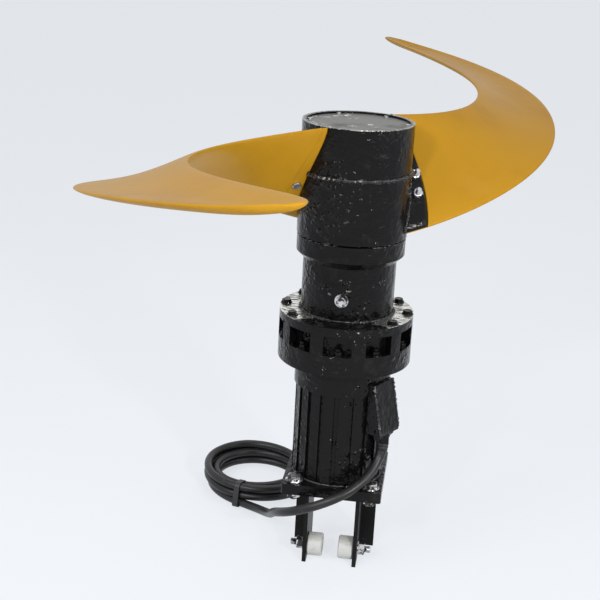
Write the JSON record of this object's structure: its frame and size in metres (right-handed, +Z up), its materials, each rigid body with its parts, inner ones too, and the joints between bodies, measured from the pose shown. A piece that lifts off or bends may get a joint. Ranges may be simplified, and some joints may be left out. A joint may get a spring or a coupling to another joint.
{
  "type": "submersible mixer",
  "caption": "Low-speed submersible flow mixer with sickle-shaped blades on a planetary gear motor, standing on its guide-rail bracket with its power cable coiled beside it.",
  "frame": {"origin": "on the mixer's axis at floor level, where the two legs of the guide bracket stand", "axes": "+Z up along the mixer's axis from the bracket to the propeller, X along the axes of the guide rollers, Y along the guide rail that passes between the legs"},
  "size_m": [0.771, 1.7968, 0.9588],
  "materials": {
    "black_paint": "thick gloss black epoxy",
    "blade_urethane": "cast ochre polyurethane",
    "cover_grey": "satin grey with primer smears",
    "bolt_steel": "stainless steel",
    "shaft_steel": "machined",
    "cast_iron": "machined cast iron",
    "seal_ring": "lapped hard seal faces",
    "seal_rubber": "nitrile",
    "copper": "varnished copper",
    "nylon": "white nylon",
    "cable_sheath": "black rubber sheath",
    "tie_plastic": "black strap"
  },
  "bodies": {
    "stator": {"seal_housing": "black_paint", "gearbox_housing": "black_paint", "oil_plug": "black_paint", "gearbox_bolts": "black_paint", "lantern_ring": "black_paint", "motor_bolts": "black_paint", "motor_casing": "black_paint", "rear_cover": "black_paint", "bracket_plate": "black_paint", "leg_left": "black_paint", "leg_right": "black_paint", "cable_entry": "black_paint", "cable_gland": "black_paint", "motor_nuts": "bolt_steel", "corner_bolts": "bolt_steel", "corner_nuts": "bolt_steel", "roller_bolts": "bolt_steel", "ring_gear_1": "shaft_steel", "ring_gear_2": "shaft_steel", "upper_bearing": "shaft_steel", "lower_bearing": "shaft_steel", "front_bearing": "shaft_steel", "rear_bearing": "shaft_steel", "stator_core": "shaft_steel", "seal_plate": "cast_iron", "end_shield": "cast_iron", "seal_seat": "seal_ring", "shaft_seal": "seal_rubber", "stator_winding": "copper", "cable_lead": "cable_sheath", "cable_coil": "cable_sheath", "coil_tie": "tie_plastic"},
    "propeller": {"hub_shell": "black_paint", "hub_cover": "cover_grey", "cover_screws": "bolt_steel", "blade_1": "blade_urethane", "blade_2": "blade_urethane", "blade_root_1": "black_paint", "blade_root_2": "black_paint", "root_bolts": "bolt_steel", "root_nuts": "bolt_steel", "propeller_shaft": "shaft_steel", "shaft_key": "shaft_steel", "shaft_washer": "bolt_steel", "shaft_bolt": "bolt_steel", "seal_head": "seal_ring", "carrier_2": "shaft_steel"},
    "rotor": {"rotor_core": "shaft_steel", "motor_shaft": "shaft_steel", "sun_gear_1": "shaft_steel"},
    "first_carrier": {"carrier_1": "shaft_steel", "sun_gear_2": "shaft_steel"},
    "planet_1a": {"planet_1a": "shaft_steel"},
    "planet_1b": {"planet_1b": "shaft_steel"},
    "planet_1c": {"planet_1c": "shaft_steel"},
    "planet_2a": {"planet_2a": "shaft_steel"},
    "planet_2b": {"planet_2b": "shaft_steel"},
    "planet_2c": {"planet_2c": "shaft_steel"},
    "roller_left": {"roller_left": "nylon"},
    "roller_right": {"roller_right": "nylon"}
  },
  "joints": [
    {"name": "propeller_spin", "type": "hinge", "parent": "stator", "child": "propeller", "pos_m": [0, 0, 0.8], "axis": [0, 0, 1], "continuous": true},
    {"name": "first_carrier_spin", "type": "hinge", "parent": "stator", "child": "first_carrier", "pos_m": [0, 0, 0.53], "axis": [0, 0, 1], "continuous": true},
    {"name": "rotor_spin", "type": "hinge", "parent": "stator", "child": "rotor", "pos_m": [0, 0, 0.31], "axis": [0, 0, 1], "continuous": true},
    {"name": "planet_1a_spin", "type": "hinge", "parent": "first_carrier", "child": "planet_1a", "pos_m": [0.0462, 0, 0.505], "axis": [0, 0, 1], "continuous": true},
    {"name": "planet_1b_spin", "type": "hinge", "parent": "first_carrier", "child": "planet_1b", "pos_m": [-0.0231, 0.04001, 0.505], "axis": [0, 0, 1], "continuous": true},
    {"name": "planet_1c_spin", "type": "hinge", "parent": "first_carrier", "child": "planet_1c", "pos_m": [-0.0231, -0.04001, 0.505], "axis": [0, 0, 1], "continuous": true},
    {"name": "planet_2a_spin", "type": "hinge", "parent": "propeller", "child": "planet_2a", "pos_m": [0.0462, 0, 0.558], "axis": [0, 0, 1], "continuous": true},
    {"name": "planet_2b_spin", "type": "hinge", "parent": "propeller", "child": "planet_2b", "pos_m": [-0.0231, 0.04001, 0.558], "axis": [0, 0, 1], "continuous": true},
    {"name": "planet_2c_spin", "type": "hinge", "parent": "propeller", "child": "planet_2c", "pos_m": [-0.0231, -0.04001, 0.558], "axis": [0, 0, 1], "continuous": true},
    {"name": "roller_left_spin", "type": "hinge", "parent": "stator", "child": "roller_left", "pos_m": [-0.0315, -0.02, 0.03], "axis": [1, 0, 0], "continuous": true},
    {"name": "roller_right_spin", "type": "hinge", "parent": "stator", "child": "roller_right", "pos_m": [0.0315, -0.02, 0.03], "axis": [1, 0, 0], "continuous": true}
  ],
  "couplings": [
    {"joint": "first_carrier_spin", "follows": "propeller_spin", "ratio": 4.4},
    {"joint": "rotor_spin", "follows": "propeller_spin", "ratio": 19.36},
    {"joint": "planet_1a_spin", "follows": "propeller_spin", "ratio": -12.467},
    {"joint": "planet_1b_spin", "follows": "propeller_spin", "ratio": -12.467},
    {"joint": "planet_1c_spin", "follows": "propeller_spin", "ratio": -12.467},
    {"joint": "planet_2a_spin", "follows": "propeller_spin", "ratio": -2.8333},
    {"joint": "planet_2b_spin", "follows": "propeller_spin", "ratio": -2.8333},
    {"joint": "planet_2c_spin", "follows": "propeller_spin", "ratio": -2.8333}
  ]
}
